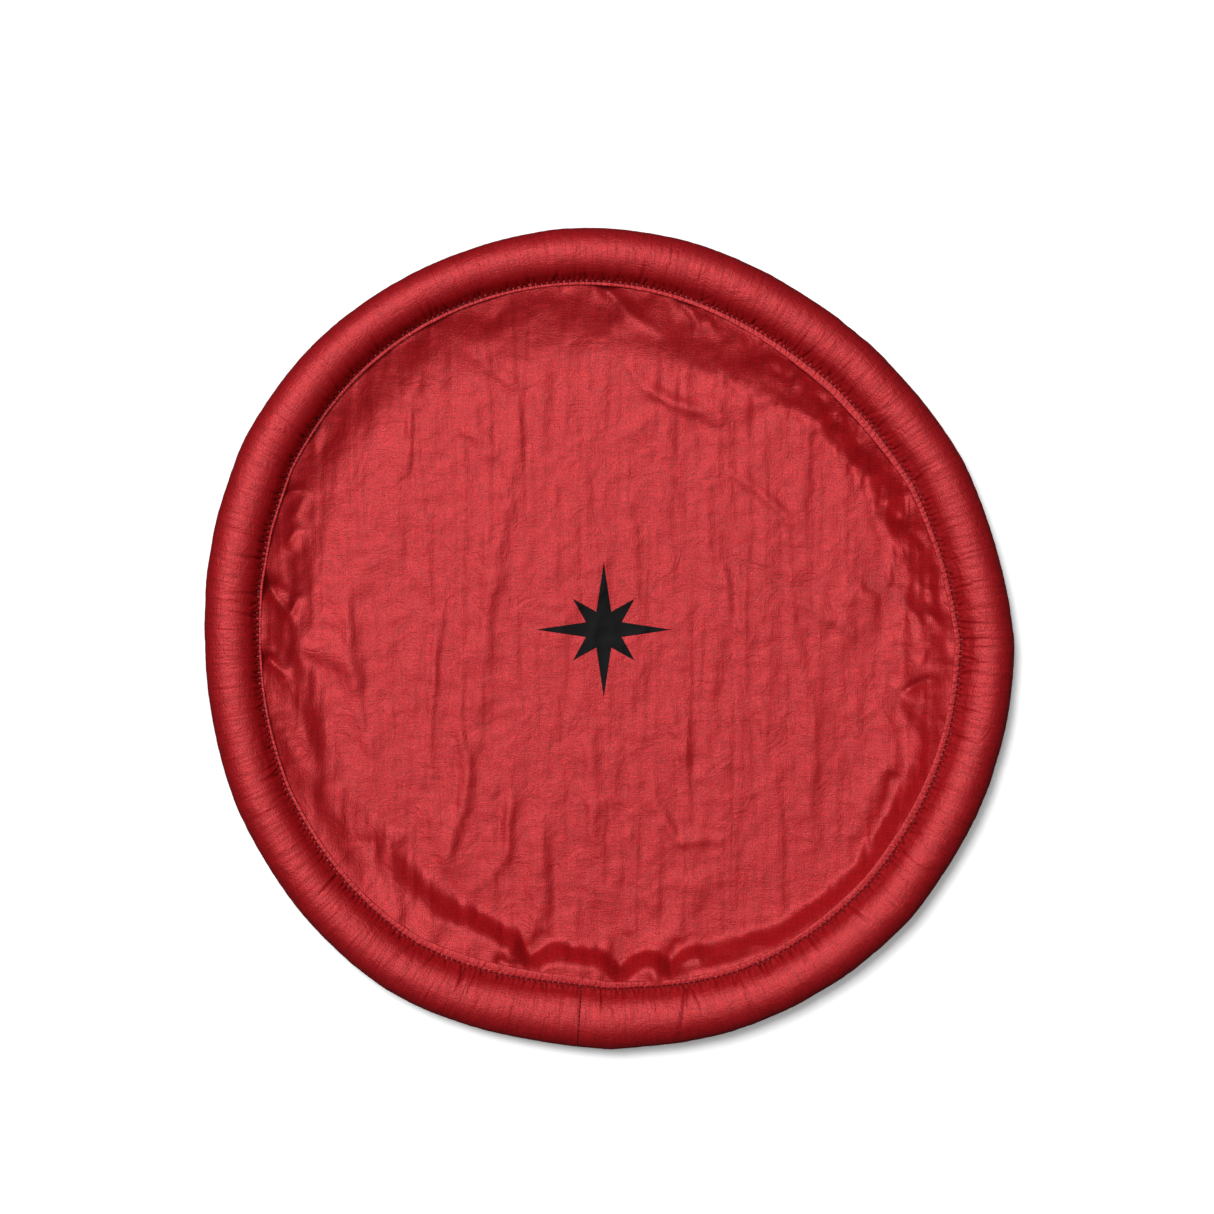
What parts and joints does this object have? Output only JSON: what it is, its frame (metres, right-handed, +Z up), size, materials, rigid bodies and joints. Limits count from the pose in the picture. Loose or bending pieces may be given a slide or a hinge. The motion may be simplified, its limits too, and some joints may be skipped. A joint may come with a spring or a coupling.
{
  "type": "folding flying disc",
  "caption": "Soft flying disc: a slack round cloth panel sewn into a padded foam ring, which folds in half to go in a pocket.",
  "frame": {"origin": "on the plane the disc rests on, under the disc's centre", "axes": "+Z up, out of the disc's hollow side; X along the fold line; +Y towards the half that folds over; the sleeve's end seam is near -Y"},
  "size_m": [0.25, 0.25, 0.0157],
  "materials": {
    "panel_cloth": "crinkled thin woven nylon, semi-matt with a faint sheen",
    "sleeve_cloth": "gathered thin woven nylon, semi-matt with a faint sheen",
    "sewing_thread": "twisted polyester thread",
    "foam": "closed-cell foam, extruded skin, matt",
    "joint_tape": "thin adhesive tape, satin",
    "print_ink": "flexible screen-print ink, matt"
  },
  "bodies": {
    "near_half": {"centre_panel_near": "panel_cloth", "rim_sleeve_near": "sleeve_cloth", "foam_core_near": "foam", "core_joint_tape": "joint_tape", "rim_needle_thread_near": "sewing_thread", "rim_bobbin_thread_near": "sewing_thread", "end_seam_needle_thread": "sewing_thread", "end_seam_bobbin_thread": "sewing_thread", "printed_mark_near": "print_ink"},
    "far_half": {"centre_panel_far": "panel_cloth", "rim_sleeve_far": "sleeve_cloth", "foam_core_far": "foam", "rim_needle_thread_far": "sewing_thread", "rim_bobbin_thread_far": "sewing_thread", "printed_mark_far": "print_ink"}
  },
  "joints": [
    {"name": "half_fold", "type": "hinge", "parent": "near_half", "child": "far_half", "pos_m": [0, 0, 0.01575], "axis": [1, 0, 0], "range_deg": [0, 175], "stiffness_Nm_per_rad": 0.05}
  ]
}
